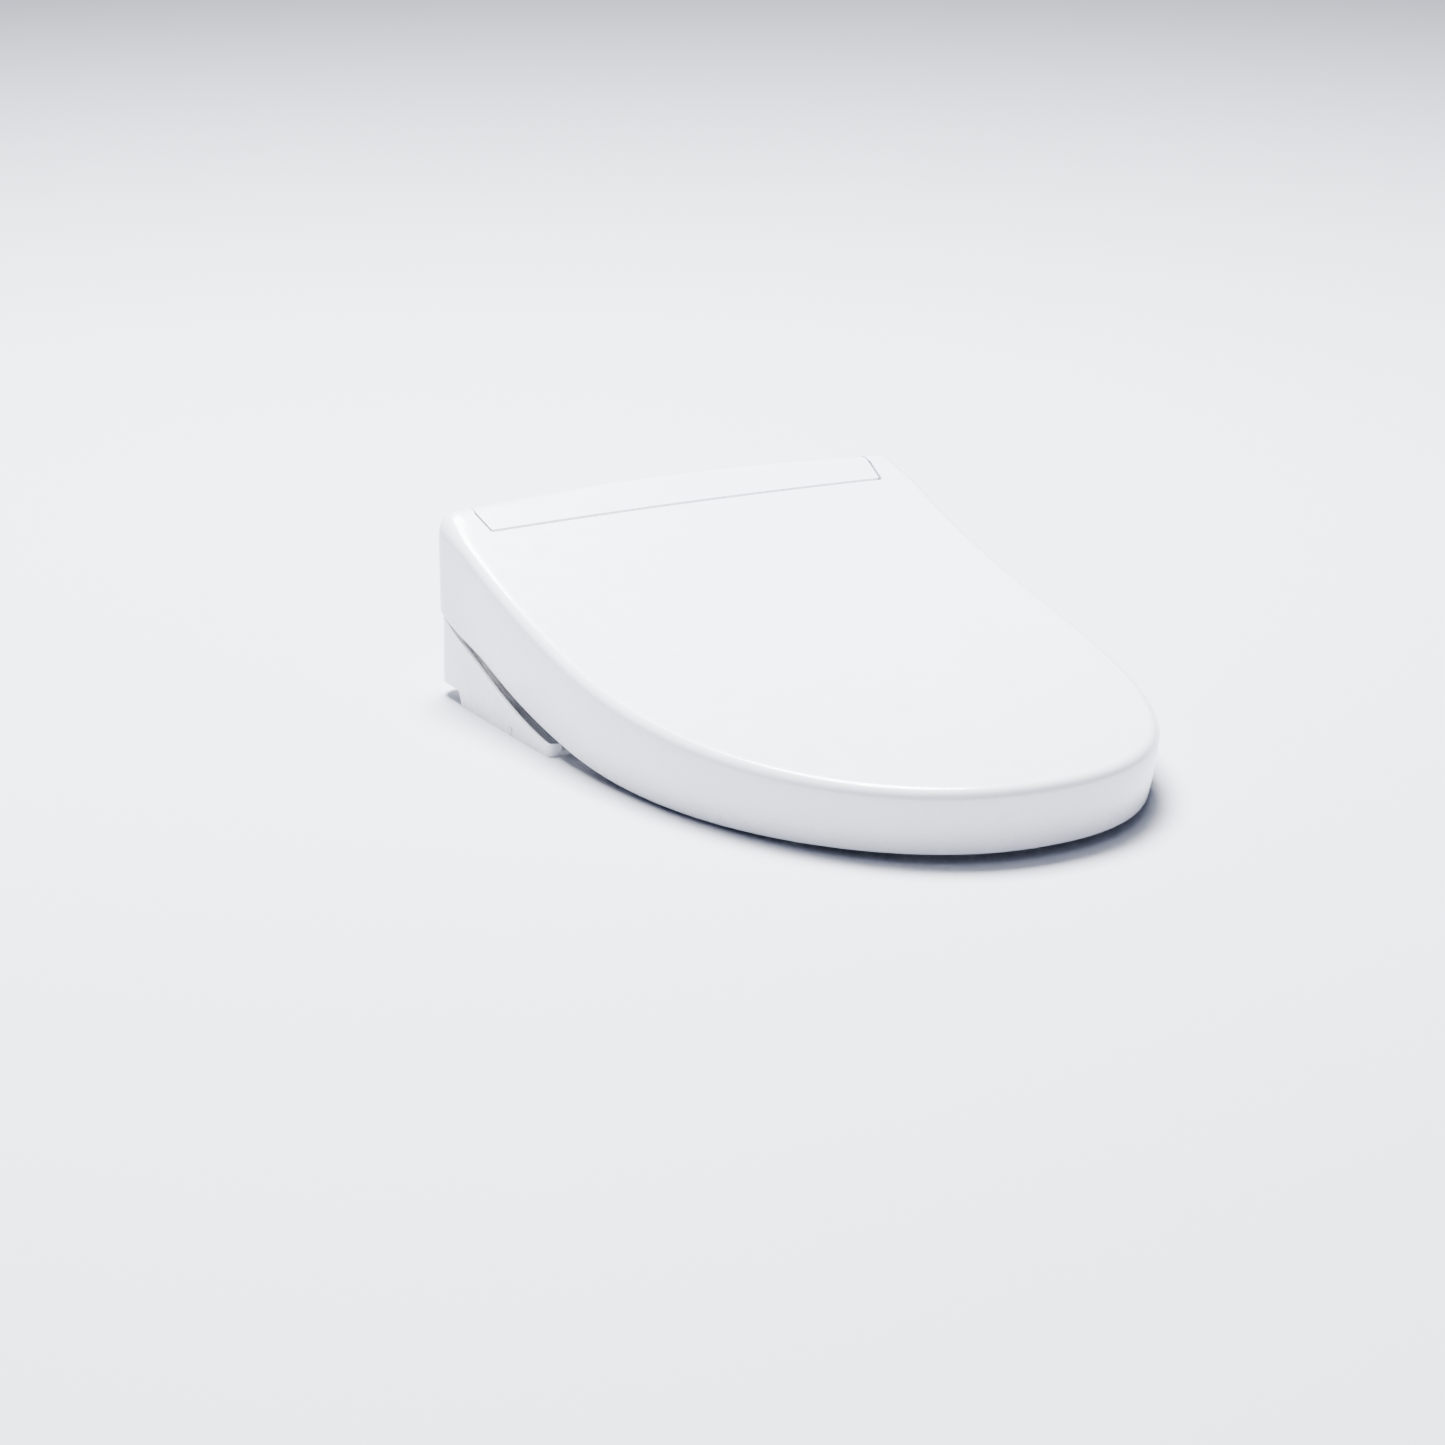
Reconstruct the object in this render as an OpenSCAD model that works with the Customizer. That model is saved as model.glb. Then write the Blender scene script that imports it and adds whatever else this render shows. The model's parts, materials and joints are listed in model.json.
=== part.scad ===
/* [Overall] */
// Half of the seat's greatest width
half_w = 191; // [188:1:193]
// Length from the rear edge to the front tip
seat_len = 530; // [524:1:536]
// Distance from the bolt line forward of the rear edge
bolt_setback = 62; // [62:1:63]
// Distance between the two mounting bolts
bolt_span = 140; // [130:1:160]

/* [Lid] */
// Thickness of the lid's shell
lid_wall = 3; // [2.5:0.1:3]
// Height of the lid's top at the rear edge
lid_rear_top = 141.5; // [141:0.5:142]
// Height of the lid's lower edge at the rear
lid_rear_low = 72.6; // [72:0.1:73]
// Roundness of the front outline, 2 is an ellipse
outline_power = 2.2; // [2.1:0.1:2.4]
// Radius of the lid's and case's rear corners in plan
corner_r = 17; // [15:0.5:18]
// How far the middle of the rear edge bows back past its sides
rear_bow = 7; // [5:0.5:8]

/* [Seat ring] */
// Half width of the seat opening
hole_half_w = 102; // [95:1:104]
// Half length of the seat opening
hole_half_l = 137; // [130:1:138]
// Thickness of the seat's two shells
seat_wall = 3; // [2.5:0.1:3]
// Height of the seat's underside above the bowl
seat_clear = 10; // [9:0.5:11]

/* [Spray wand] */
// Tilt of the wand below level
wand_tilt = 12; // [11:0.5:12.5]
// Outer radius of the wand tube
wand_r = 7; // [6:0.5:7]
// Length of the wand tube
wand_len = 112; // [100:1:114]

/* [Hinge] */
// Radius of the hinge pins
pin_r = 3.5; // [3:0.25:3.5]
// Running clearance round a pin
run_gap = 0.05; // [0.03:0.01:0.08]

/* [Hidden] */

$fn = 48;
white = "whitesmoke";
rear_y = bolt_setback;
front_y = rear_y - seat_len;
straight_y = rear_y - 197;
axis_y = rear_y - 16;
axis_z = 98;
notch_r = 38.4;
unit_half = 163;
lid_arm_x = 164.7;
case_half = 182;
case_rear = rear_y - 2;
case_front = rear_y - 188;
shell_half = 160;
seat_inset = 8;
seat_drop = 12;
seat_rear = rear_y - 102;
step_y = case_front - 5;
bridge_low = 46;
seat_arm_in = 167.5;
seat_arm_out = 176;
lid_ear_in = 177.5;
pin_end = 183.5;
hole_y = case_front - 2 - hole_half_l;
wall = 2.5;
floor_z = 9;
floor_t = 3;
wand_x = -16;
wand_exit_z = 19.5;
wand_tip_back = 45;
flap_x = 24;
flap_z = 33;
flap_y = case_front + 1.2;
pump_x = -46;
hose_y = 34;
valve_x = 126;
rotor = [78, -30, 22];
rotor_r = 21;
pinion_r = 5;
inlet = [166, 35, 30];
drain = [150, -38, 13];
cartridge = [[118, -22, 14], [190, 8, 34]];
release = [-68, 3.4];
release_r = 2.2;
cavity_rear = case_rear - 9;
gland_r = 7;
gland = [130, rear_y - 5.4, 22];

// Cubic Bernstein curve through four heights, s from 0 at the rear to 1 at the tip
function curve(h, s) = let (t = 1 - s)
    h[0] * pow(t, 3) + 3 * h[1] * s * pow(t, 2) + 3 * h[2] * pow(s, 2) * t + h[3] * pow(s, 3);
function along(y) = (rear_y - y) / seat_len;
function lid_top(y) = curve([lid_rear_top, 62.3, 47.6, 48.9], along(y));
function lid_low(y) = curve([lid_rear_low, -18.4, 4, 6.3], along(y));
function case_edge(y) = 70 - 0.54 * (rear_y - y) + 0.00112 * pow(rear_y - y, 2);

// Plan outline of the lid, drawn in by inset on every side
function front_half(inset, n) = [for (i = [0:n])
    let (a = 90 * i / n, p = 2 / outline_power)
    [(half_w - inset) * pow(cos(a), p), straight_y - (straight_y - front_y - inset) * pow(sin(a), p)]];
function mirrored(points) = concat(points, [for (i = [len(points) - 1:-1:0]) [-points[i][0], points[i][1]]]);
module outline(inset, rear) polygon(mirrored(concat([[half_w - inset, rear]], front_half(inset, 24))));

// Rear edge of the lid and case: bowed in the middle, with a round corner
corner_x = half_w - corner_r;
function rear_at(x, rear) = rear - rear_bow * pow(x / half_w, 2);
corner_y = rear_at(corner_x, rear_y) - corner_r;
function rear_half(inset, rear) = concat(
    [for (i = [1:6]) let (x = corner_x * i / 6) [x, rear_at(x, rear)]],
    [for (a = [75:-15:0]) [corner_x + (corner_r - inset) * cos(a),
        corner_y + (corner_r - rear_y + rear) * sin(a)]]);
module lid_outline(inset, rear) polygon(mirrored(concat(rear_half(inset, rear), front_half(inset, 24))));
module rear_plan(half, front, rear) polygon(concat(
    [for (i = [-8:8]) [half * i / 8, rear_at(half * i / 8, rear)]], [[half, front], [-half, front]]));

// A closed side-view outline of [y, z] points, carried along X from x0 to x1
module across(x0, x1) translate([x0, 0, 0]) rotate([90, 0, 90]) linear_extrude(x1 - x0) children();
module across_both(x0, x1) {
    across(x0, x1) children();
    across(-x1, -x0) children();
}
module rod_x(x0, x1, r, y, z) translate([x0, y, z]) rotate([0, 90, 0]) cylinder(r = r, h = x1 - x0);
module rods_x(x0, x1, r, y, z) {
    rod_x(x0, x1, r, y, z);
    rod_x(-x1, -x0, r, y, z);
}
module block(low, high) translate(low) cube(high - low);
module blocks(low, high) {
    block(low, high);
    mirror([1, 0, 0]) block(low, high);
}
function stations(y0, y1, n) = [for (i = [0:n]) y0 + (y1 - y0) * i / n];

// Side view between the lid's lower edge and its top, shifted by low_add and top_add
module lid_side(low_add, top_add) {
    ys = stations(rear_y + 1, front_y - 1, 26);
    polygon(concat([for (y = ys) [y, lid_top(y) + top_add]],
        [for (i = [len(ys) - 1:-1:0]) [ys[i], lid_low(ys[i]) + low_add]]));
}

module lid_shell() color(white) difference() {
    union() {
        difference() {
            intersection() {
                linear_extrude(160) lid_outline(0, rear_y);
                across(-200, 200) lid_side(0, 0);
            }
            intersection() {
                translate([0, 0, -20]) linear_extrude(180) lid_outline(lid_wall, rear_y - lid_wall);
                across(-200, 200) lid_side(-30, -lid_wall);
            }
            rod_x(-lid_arm_x, lid_arm_x, notch_r, axis_y, axis_z);
            block([-lid_arm_x, axis_y, 40], [lid_arm_x, rear_y + 5, 150]);
            blocks([lid_arm_x - 1, axis_y, 40], [lid_ear_in, rear_y + 5, axis_z + 2]);
        }
        intersection() {
            across_both(lid_ear_in, half_w) lid_ear();
            across(-200, 200) lid_side(0, -1);
            linear_extrude(160) lid_outline(1, rear_y - 1);
        }
    }
    rods_x(lid_ear_in - 1, pin_end + run_gap, pin_r + run_gap, axis_y, axis_z);
}
// Side view of the ears that hang down from the lid's arms round the hinge pins
module lid_ear() {
    ear_r = pin_r + 3;
    translate([axis_y, axis_z]) circle(r = ear_r);
    translate([axis_y - ear_r, axis_z]) square([2 * ear_r, 50]);
}

// Side view of the gap between the lid's underside and the seat
module lid_band() {
    ys = stations(rear_y + 1, front_y - 1, 26);
    polygon(concat([for (y = ys) [y, lid_top(y) - lid_wall]],
        [for (i = [len(ys) - 1:-1:0]) [ys[i], lid_top(ys[i]) - seat_drop + 1]]));
}
module lid_bumpers() color("lightgray") intersection() {
    for (side = [-1, 1], y = [-120, -340]) translate([side * 118, y, 0]) cylinder(r = 6, h = 140);
    across(-130, 130) lid_band();
}

// Side view of the seat ring: its top follows the lid, its underside steps over the case
module seat_side(top_add, shift_y, shift_z) {
    ys = stations(seat_rear, front_y, 24);
    polygon(concat([for (y = ys) [y, lid_top(y) - seat_drop + top_add]],
        [[front_y + shift_y, seat_clear + shift_z], [step_y + shift_y, seat_clear + shift_z],
         [step_y + shift_y, bridge_low + shift_z], [seat_rear, 68 + shift_z]]));
}
module seat_hole(grow) translate([0, hole_y]) {
    p = 2 / 2.8;
    polygon([for (i = [0:47]) let (a = 7.5 * i, c = cos(a), s = sin(a))
        [(hole_half_w + grow) * sign(c) * pow(abs(c), p), (hole_half_l + grow) * sign(s) * pow(abs(s), p)]]);
}
module ring_plan(inset, rear_inset) difference() {
    outline(seat_inset + inset, seat_rear - rear_inset);
    seat_hole(inset);
}

module seat_top_shell() color(white) difference() {
    union() {
        difference() {
            intersection() {
                linear_extrude(160) ring_plan(0, 0);
                across(-200, 200) seat_side(0, 0, 0);
            }
            intersection() {
                translate([0, 0, -1]) linear_extrude(160) ring_plan(seat_wall, seat_wall);
                across(-200, 200) seat_side(-seat_wall, 0, -50);
            }
        }
        across_both(seat_arm_in, seat_arm_out) {
            translate([axis_y, axis_z]) circle(r = 7.2);
            polygon([[axis_y, axis_z + 7], [seat_rear - 1, 91], [seat_rear - 1, 70], [axis_y, axis_z - 7]]);
        }
    }
    rods_x(seat_arm_in - 1, seat_arm_out + 1, pin_r + run_gap, axis_y, axis_z);
}

module seat_base_shell() color("gainsboro") intersection() {
    linear_extrude(160) ring_plan(seat_wall, seat_wall);
    across(-200, 200) difference() {
        seat_side(-seat_wall, 0, 0);
        translate([-seat_wall, seat_wall]) seat_side(20, 0, 0);
        translate([seat_rear - 60, 60]) square([80, 60]);
    }
}

module seat_heater() color("darkorange") intersection() {
    linear_extrude(160) ring_plan(seat_wall + 6, seat_wall + 6);
    across(-200, 200) {
        ys = stations(seat_rear, front_y, 24);
        polygon(concat([for (y = ys) [y, lid_top(y) - seat_drop - seat_wall]],
            [for (i = [24:-1:0]) [ys[i], lid_top(ys[i]) - seat_drop - seat_wall - 0.8]]));
    }
}

module seat_bumpers() color("dimgray")
    for (side = [-1, 1], y = [-210, -350])
        translate([side * 126, y, 0]) hull() {
            translate([0, -12, 0]) cylinder(r = 7, h = seat_clear);
            translate([0, 12, 0]) cylinder(r = 7, h = seat_clear);
        }

module hinge_pins() color("silver") rods_x(shell_half - 14, pin_end, pin_r, axis_y, axis_z);
module seat_damper() color("gray") rod_x(100, shell_half - 14, 5.8, axis_y, axis_z);
module lid_damper() color("gray") rod_x(-shell_half + 14, -100, 5.8, axis_y, axis_z);

module hinge_brackets() color("slategray") difference() {
    blocks([shell_half - 14, axis_y - 9, axis_z - 14], [shell_half - 3, axis_y + 4, axis_z + 6.5]);
    rods_x(shell_half - 15, shell_half, pin_r, axis_y, axis_z);
}

// Side view of the fixed cover between the lid's arms, drawn in by the wall for its hollow
module cover_side(inset) {
    front = rear_y - 44 + inset;
    ys = stations(front, rear_y - 12, 6);
    lip_z = 112 - 9 * inset;
    side_z = 104 - 9 * inset;
    back_z = 98 - 9 * inset;
    polygon(concat([[front, lip_z]], [for (y = ys) [y, lid_top(y) - 0.6 - inset]],
        [[rear_y - 4, 133.5 - inset], [rear_y - 2, 129 - inset], [rear_y - 2, back_z],
         [axis_y + 5, back_z], [axis_y + 4, side_z], [front + 14, side_z], [front + 6, lip_z]]));
}
module top_cover() color(white) difference() {
    intersection() {
        linear_extrude(160) rear_plan(unit_half, 0, case_rear);
        across(-200, 200) cover_side(0);
    }
    intersection() {
        linear_extrude(160) rear_plan(unit_half - wall, 0, case_rear - wall);
        across(-200, 200) cover_side(wall);
    }
}

module upper_cover() color(white) difference() {
    across(-shell_half, shell_half) polygon([[52, 64], [52, 107], [24, 111], [16, 109.5], [-38, 62],
        [case_front, 40], [case_front, 8], [50, 64]]);
    across(wall - shell_half, shell_half - wall) polygon([[53, 40], [53, 104.7], [24, 108.6], [17, 107],
        [-37, 59.2], [case_front + wall, 37.4], [case_front + wall, 0]]);
    rods_x(shell_half - 4, shell_half + 1, pin_r, axis_y, axis_z);
    shutter_opening(wand_x);
    shutter_opening(flap_x);
}
module shutter_opening(x) {
    block([x - 12, case_front - 1, 7], [x + 12, case_front + wall + 1, flap_z + 3.2]);
    rod_x(x - 14, x + 14, 1.25, flap_y, flap_z);
}

// Side view of the case below the line where it meets the upper cover
module case_side(top) polygon(concat([[case_rear, 10.5], [16, 10.5], [10, 0], [case_front - 2, 0]], top));

module lower_case() color("gainsboro") difference() {
    intersection() {
        union() {
            across(-unit_half, unit_half)
                case_side([[case_front - 2, 7], [case_front, 8], [50, 64], [case_rear - 3, 64]]);
            across_both(unit_half - 1, case_half)
                case_side([for (y = stations(case_front - 2, case_rear, 8)) [y, max(4, case_edge(y) - 9)]]);
        }
        linear_extrude(160) lid_outline(0, case_rear);
    }
    across(-shell_half + wall + 0.5, shell_half - wall - 0.5) polygon([[cavity_rear, floor_z + floor_t],
        [cavity_rear, 80], [case_front + wall, 80], [case_front + wall, floor_z + floor_t]]);
    across_both(unit_half, case_half - 3) polygon([[cavity_rear - 3, floor_z + floor_t],
        [cavity_rear - 3, 80], [-100, 80], [-100, floor_z + floor_t]]);
    block([-105, -113, -1], [105, 20, floor_z]);
    block(cartridge[0] - [5, 0.5, 0.5], [case_half + 1, cartridge[1][1] + 0.5, cartridge[1][2] + 0.5]);
    rod_x(inlet[0] - 10, case_half + 1, 15, inlet[1], inlet[2]);
    rod_x(drain[0] - 1, case_half + 1, 8.4, drain[1], drain[2]);
    for (y = [-66, -84]) rod_x(172, case_half + 1, 4.3, y, 8);
    release_hole();
    translate([gland[0], gland[1] - 2, gland[2]]) rotate([-90, 0, 0]) cylinder(r = gland_r + 0.05, h = 10);
}
module release_hole() rod_x(-half_w - 1, -178, release_r + 0.3, release[0], release[1]);

// Plate that leans outward from its upper edge to the bowl
module side_plate() intersection() {
    across(case_half, half_w)
        case_side([for (y = stations(case_front - 2, case_rear, 16)) [y, case_edge(y)]]);
    translate([0, rear_y, 0]) rotate([90, 0, 0]) linear_extrude(seat_len)
        polygon([[case_half, -1], [half_w - 0.3, -1], [case_half + 3, 71], [case_half, 71]]);
    linear_extrude(160) lid_outline(0, case_rear);
}
module side_cover_left() color(white) difference() {
    mirror([1, 0, 0]) side_plate();
    release_hole();
}
module side_cover_right() color(white) difference() {
    side_plate();
    block(cartridge[0] - [5, 0.5, 0.5], cartridge[1] + [5, 0.5, 0.5]);
    rod_x(inlet[0], half_w + 1, 15, inlet[1], inlet[2]);
    rod_x(drain[0], half_w + 1, 8.4, drain[1], drain[2]);
    for (y = [-66, -84]) rod_x(174, half_w + 1, 4.3, y, 8);
    rod_x(180, half_w + 1, 2.5, -52, 12);
}

module rear_cover() color("gainsboro") difference() {
    translate([0, 0, 64]) linear_extrude(33) rear_plan(unit_half - 1, 30, case_rear);
    translate([0, 0, 63]) linear_extrude(35) rear_plan(unit_half, 0, case_rear - wall);
    for (x = [-120:12:-60]) block([x, 50, 70], [x + 5, 70, 86]);
}

module bracket_plate() color("gray") difference() {
    block([-100, -110, 0], [100, 12, 7]);
    for (side = [-1, 1]) translate([side * bolt_span / 2, 0, 0]) {
        block([-5, -35, -1], [5, 8, 8]);
        block([-14, -40, 3], [14, 9, 8]);
    }
}
module bolt_adapters() color("dimgray")
    for (side = [-1, 1]) translate([side * bolt_span / 2, 0, 3]) difference() {
        block([-13.5, -8.5, 0], [13.5, 8.5, 4]);
        translate([0, 0, -1]) cylinder(r = 4.2, h = 6);
    }

module release_button() color("lightgray") rod_x(-half_w + 0.9, -181, release_r, release[0], release[1]);

// Sets its children along the wand's own axis, which slopes down to the front
module on_wand() translate([wand_x, case_front, wand_exit_z]) rotate([90 + wand_tilt, 0, 0]) mirror([0, 0, 1]) children();
module wand_guide() color("darkgray") on_wand() difference() {
    for (z = [16, 76]) translate([-10, -9.3, z]) cube([20, 18, 34]);
    translate([0, 0, 3]) cylinder(r = wand_r + 0.5, h = 120);
    translate([-3, -12, 3]) cube([6, 12, 120]);
}
module wand_tube() color(white) on_wand() difference() {
    translate([0, 0, wand_tip_back + 14]) cylinder(r = wand_r, h = wand_len - 14);
    translate([0, 0, wand_tip_back + 13]) cylinder(r = wand_r - 1.5, h = wand_len - 16);
}
module wand_tip() color("silver") on_wand() difference() {
    union() {
        translate([0, 0, wand_tip_back + 6]) cylinder(r = wand_r - 0.2, h = 8);
        translate([0, 0, wand_tip_back]) cylinder(r1 = wand_r - 2, r2 = wand_r - 0.2, h = 6);
    }
    for (z = [5, 9]) translate([0, 0, wand_tip_back + z]) rotate([-90, 0, 0]) cylinder(r = 0.8, h = 20);
}
module wand_rack() color("gray") on_wand() translate([-2, -wand_r - 1.5, wand_tip_back + 16]) cube([4, 1.5, wand_len - 18]);
module drive_pinion() color("goldenrod") on_wand()
    translate([-3, -wand_r - 1.8 - pinion_r, wand_tip_back + 18]) rotate([0, 90, 0]) cylinder(r = pinion_r, h = 6);
module wand_motor() color("dimgray") on_wand()
    translate([-24, -wand_r - 1.8 - pinion_r, wand_tip_back + 18]) rotate([0, 90, 0]) cylinder(r = pinion_r + 0.2, h = 20);

module shutter(x) {
    block([x - 11.5, case_front + 0.4, 10], [x + 11.5, case_front + 2, flap_z]);
    rod_x(x - 13.5, x + 13.5, 1.2, flap_y, flap_z);
    rod_x(x - 11.5, x + 11.5, 2, flap_y, flap_z);
}
module nozzle_shutter() color(white) shutter(wand_x);
module air_flap() color(white) shutter(flap_x);

module air_duct() color("lightsteelblue") difference() {
    block([flap_x - 11, case_front + 5, 13], [flap_x + 11, -54, 34]);
    block([flap_x - 9, case_front, 15], [flap_x + 9, -20, 32]);
}
module air_heater() color("peru")
    for (z = [18:4:30]) rod_x(flap_x - 9, flap_x + 9, 1, -70, z);
module blower_housing() color("gray") translate(rotor) difference() {
    union() {
        translate([0, 0, -9]) cylinder(r = rotor_r + 3, h = 26);
        block([-48, -24, -9], [-2, -2, 14]);
    }
    translate([0, 0, -4]) cylinder(r = rotor_r + 1, h = 30);
    block([-60, -22, -7], [-2, -4, 12]);
    block([-60, -23, -10], [-42, 0, 20]);
}
module blower_rotor() color("black") translate(rotor) {
    cylinder(r = 8, h = 12);
    cylinder(r = rotor_r - 1, h = 1.5);
    for (a = [0:30:330]) rotate([0, 0, a]) block([rotor_r - 6, -0.6, 1], [rotor_r - 1.5, 0.6, 12]);
}
module blower_motor() color("silver") translate(rotor + [0, 0, 12.3]) cylinder(r = 9, h = 3);

module heat_exchanger() color("lightsteelblue") block([-150, -58, 15], [-70, 40, 46]);
module solenoid_valve() color("teal") block([118, 22, 14], [154, 48, 44]);
module flow_pump() color("dimgray") translate([pump_x, hose_y, 14]) cylinder(r = 12, h = 34);
module water_inlet() color("silver") difference() {
    union() {
        rod_x(154, inlet[0], 8, inlet[1], inlet[2]);
        rod_x(inlet[0], half_w - 2, 10.4, inlet[1], inlet[2]);
    }
    rod_x(inlet[0] - 5, half_w, 6, inlet[1], inlet[2]);
}
module supply_hose() color("white") {
    rod_x(pump_x - 2.9, valve_x + 2.9, 2.9, hose_y, 62.8);
    translate([valve_x, hose_y, 44]) cylinder(r = 2.9, h = 18.8);
    translate([pump_x, hose_y, 48]) cylinder(r = 2.9, h = 14.8);
}
module wand_hose() color("white") rod_x(-70, pump_x - 12, 3, hose_y, 30);
module drain_knob() color("lightgray") {
    rod_x(drain[0], half_w - 3, 8, drain[1], drain[2]);
    block([half_w - 4, drain[1] - 6, drain[2] - 1.5], [half_w - 1, drain[1] + 6, drain[2] + 1.5]);
}
module deodoriser_cartridge() color("gainsboro") difference() {
    block(cartridge[0], cartridge[1] - [2, 0, 0]);
    for (x = [124:8:172]) block([x, cartridge[0][1] - 1, 18], [x + 4, cartridge[1][1] + 1, 30]);
}

module board_tray() color("dimgray") {
    block([-150, 12, 66], [150, 49, 68]);
    blocks([150, 20, 66], [157, 46, 72]);
}
module control_board() color("green") block([-142, 14, 68], [-12, 47, 69.6]);
module power_board() color("darkgreen") {
    block([8, 14, 68], [142, 47, 69.6]);
    for (x = [20:24:120]) translate([x, 30, 69.6]) cylinder(r = 5, h = 12);
}
module side_button(y) rod_x(175, half_w - 1, 4, y, 8);
module wash_button() color("silver") side_button(-66);
module stop_button() color("silver") side_button(-84);
module status_lens() color("black") rod_x(case_half, half_w - 1.5, 2.5, -52, 12);
module case_screws() color("silver")
    for (x = [-130, 130], y = [-105, -60, 0]) translate([x, y, 12]) {
        cylinder(r = 3.5, h = 2);
    }
module cord_gland() color("dimgray") translate(gland) rotate([90, 0, 0]) difference() {
    cylinder(r = gland_r, h = 2);
    translate([0, 0, -1]) cylinder(r = 3.6, h = 4);
}

lid_shell();
lid_bumpers();
seat_top_shell();
seat_base_shell();
seat_heater();
seat_bumpers();
seat_damper();
lid_damper();
hinge_pins();
hinge_brackets();
top_cover();
upper_cover();
lower_case();
side_cover_left();
side_cover_right();
rear_cover();
bracket_plate();
bolt_adapters();
release_button();
wand_guide();
wand_tube();
wand_tip();
wand_rack();
wand_motor();
drive_pinion();
nozzle_shutter();
air_flap();
air_duct();
blower_housing();
blower_rotor();
blower_motor();
air_heater();
heat_exchanger();
solenoid_valve();
flow_pump();
supply_hose();
wand_hose();
water_inlet();
drain_knob();
deodoriser_cartridge();
board_tray();
control_board();
power_board();
wash_button();
stop_button();
status_lens();
case_screws();
cord_gland();
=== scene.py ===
"""Looks for the electric bidet seat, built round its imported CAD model."""
import json
import math

import bmesh
import bpy
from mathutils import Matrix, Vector
from mathutils.geometry import delaunay_2d_cdt


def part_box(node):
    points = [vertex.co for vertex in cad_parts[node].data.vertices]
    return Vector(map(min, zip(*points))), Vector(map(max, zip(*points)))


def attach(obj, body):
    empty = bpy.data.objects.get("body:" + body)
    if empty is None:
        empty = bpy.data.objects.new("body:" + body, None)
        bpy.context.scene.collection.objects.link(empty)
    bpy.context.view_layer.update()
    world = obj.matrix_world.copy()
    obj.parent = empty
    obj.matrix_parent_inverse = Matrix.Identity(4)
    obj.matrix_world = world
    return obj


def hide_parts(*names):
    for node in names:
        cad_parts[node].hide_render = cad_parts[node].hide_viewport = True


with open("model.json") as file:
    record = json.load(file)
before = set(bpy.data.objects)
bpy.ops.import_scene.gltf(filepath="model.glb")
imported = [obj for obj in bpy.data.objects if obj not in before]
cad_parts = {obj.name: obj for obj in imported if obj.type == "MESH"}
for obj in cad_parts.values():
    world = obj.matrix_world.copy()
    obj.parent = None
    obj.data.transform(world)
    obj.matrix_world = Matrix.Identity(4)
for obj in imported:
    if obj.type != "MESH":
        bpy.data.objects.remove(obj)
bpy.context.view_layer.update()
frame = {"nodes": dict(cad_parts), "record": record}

MM = 0.001
MERGE_M = 1e-6         # metres within which two points are one
EDGE_ROUND = 0.6       # rounding on the CAD nodes that are shown as they are

# ---------------------------------------------------------------- driving sizes, in millimetres
LID_LOW, LID_HIGH = (Vector(corner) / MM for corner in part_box("lid_shell"))
HALF_W = (LID_HIGH.x - LID_LOW.x) / 2
LENGTH = 530.0
FRONT_Y = LID_LOW.y
REAR_Y = FRONT_Y + LENGTH
REAR_BOW = 7.0
STRAIGHT_Y = REAR_Y - 197
OUTLINE_POWER = 2.2
TOP_HEIGHTS = (141.5, 62.3, 47.6, 48.9)
LOW_HEIGHTS = (72.6, -18.4, 4.0, 6.3)
CROWN = 2.6
WALL = 3.0
SKIRT_DRAFT = 6.0
AXIS_Y, AXIS_Z = REAR_Y - 16, 98.0
NOTCH_FRONT_Y = 16.4
NOTCH_FRONT_X, NOTCH_REAR_X = 162.2, 164.8
ARM_SLOT_X, ARM_SLOT_Z = 177.5, 100.0
PANEL_GAP = 2.3
PANEL_FRONT_X, PANEL_REAR_X = 160.2, 162.9
REAR_EDGE, SIDE_EDGE, FRONT_EDGE = 16.0, 9.0, 8.0
CORNER_R = 17.0
CASE_CLEAR = 0.4
CASE_FRONT = REAR_Y - 188
SEAT_INSET, SEAT_DROP, SEAT_CLEAR = 8.0, 12.0, 10.0
SEAT_REAR, STEP_Y, BRIDGE_LOW = REAR_Y - 102, CASE_FRONT - 5, 46.0
HOLE_HALF_W, HOLE_HALF_L, HOLE_POWER = 102.0, 137.0, 2.8
HOLE_Y = CASE_FRONT - 2 - HOLE_HALF_L
WAND_X, FLAP_X = -16.0, 24.0
SKIN_CUT_IN, SKIN_CUT_OUT = 176, 196    # X range that the right skin's hole cutters pass through
# (y, z, radius) of the right skin's holes: inlet, drain knob, wash button, stop button, lens
SERVICE_HOLES = ((35, 30, 15), (-38, 13, 8.4), (-66, 8, 4.3), (-84, 8, 4.3), (-52, 12, 2.5))
CASE_LEAN = 5.6
CASE_TOP, CASE_SLOPE, CASE_CURVE = 70, 0.54, 0.00112    # the casing's upper edge, from the rear forwards
CASE_EDGE_MIN, CASE_STEP, CASE_STEP_Y = 9.0, 10.5, 13   # lowest edge, and the step up under the rear
SKIN_WALL = 2.2
BRIDGE_REAR_LOW = 68
PIN_END_X = 183.5
EAR_RADIUS, EYE_RADIUS = 6.5, 7.2
ARM_INNER_X, ARM_OUTER_X = 167.5, 176
WORKS_HALF_W, WORKS_WALL = 160, 2.5
WINDOW_HALF_W = 12
RELEASE_AT = (-68, 3.4)
FLOOR_HALF_M = 12


def bernstein(heights, s):
    a, b, c, d = heights
    return a * (1 - s) ** 3 + 3 * b * s * (1 - s) ** 2 + 3 * c * s * s * (1 - s) + d * s ** 3


def along(y):
    return (REAR_Y - y) / LENGTH


def lid_top(x, y):
    return bernstein(TOP_HEIGHTS, along(y)) + CROWN * (1 - (x / HALF_W) ** 2)


def lid_low(y):
    return bernstein(LOW_HEIGHTS, along(y))


def mix(a, b, t):
    return a + (b - a) * t


def smooth(t):
    t = min(1.0, max(0.0, t))
    return t * t * (3 - 2 * t)


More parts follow.
